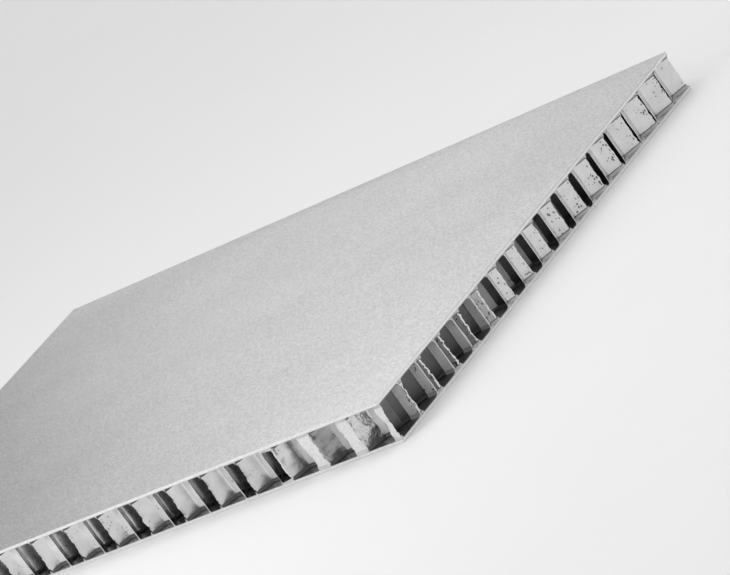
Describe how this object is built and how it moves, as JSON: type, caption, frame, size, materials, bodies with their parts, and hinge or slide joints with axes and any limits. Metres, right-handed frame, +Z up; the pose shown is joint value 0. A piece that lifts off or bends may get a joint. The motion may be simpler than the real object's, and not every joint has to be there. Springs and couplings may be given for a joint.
{
  "type": "aluminium honeycomb panel",
  "caption": "Flat sandwich panel: two thin aluminium skins bonded to a core of folded foil ribbons that form hexagonal cells, open at the sawn edges.",
  "frame": {"origin": "middle of the lower skin's underside, on the surface that the panel lies on", "axes": "+X along the panel's length and its foil ribbons, +Y across its width, +Z up through its thickness"},
  "size_m": [0.3, 0.2, 0.015],
  "materials": {
    "skin": "satin",
    "foil": "bright",
    "adhesive": "satin"
  },
  "bodies": {
    "root": {"lower_skin": "skin", "lower_film": "adhesive", "upper_film": "adhesive", "upper_skin": "skin", "foil_ribbon_01": "foil", "foil_ribbon_02": "foil", "foil_ribbon_03": "foil", "foil_ribbon_04": "foil", "foil_ribbon_05": "foil", "foil_ribbon_06": "foil", "foil_ribbon_07": "foil", "foil_ribbon_08": "foil", "foil_ribbon_09": "foil", "foil_ribbon_10": "foil", "foil_ribbon_11": "foil", "foil_ribbon_12": "foil", "foil_ribbon_13": "foil", "foil_ribbon_14": "foil", "foil_ribbon_15": "foil", "foil_ribbon_16": "foil", "foil_ribbon_17": "foil", "foil_ribbon_18": "foil", "foil_ribbon_19": "foil", "foil_ribbon_20": "foil", "foil_ribbon_21": "foil", "foil_ribbon_22": "foil", "foil_ribbon_23": "foil", "foil_ribbon_24": "foil", "foil_ribbon_25": "foil", "foil_ribbon_26": "foil", "foil_ribbon_27": "foil", "foil_ribbon_28": "foil", "foil_ribbon_29": "foil", "foil_ribbon_30": "foil", "foil_ribbon_31": "foil", "foil_ribbon_32": "foil", "foil_ribbon_33": "foil", "foil_ribbon_34": "foil"}
  },
  "joints": []
}
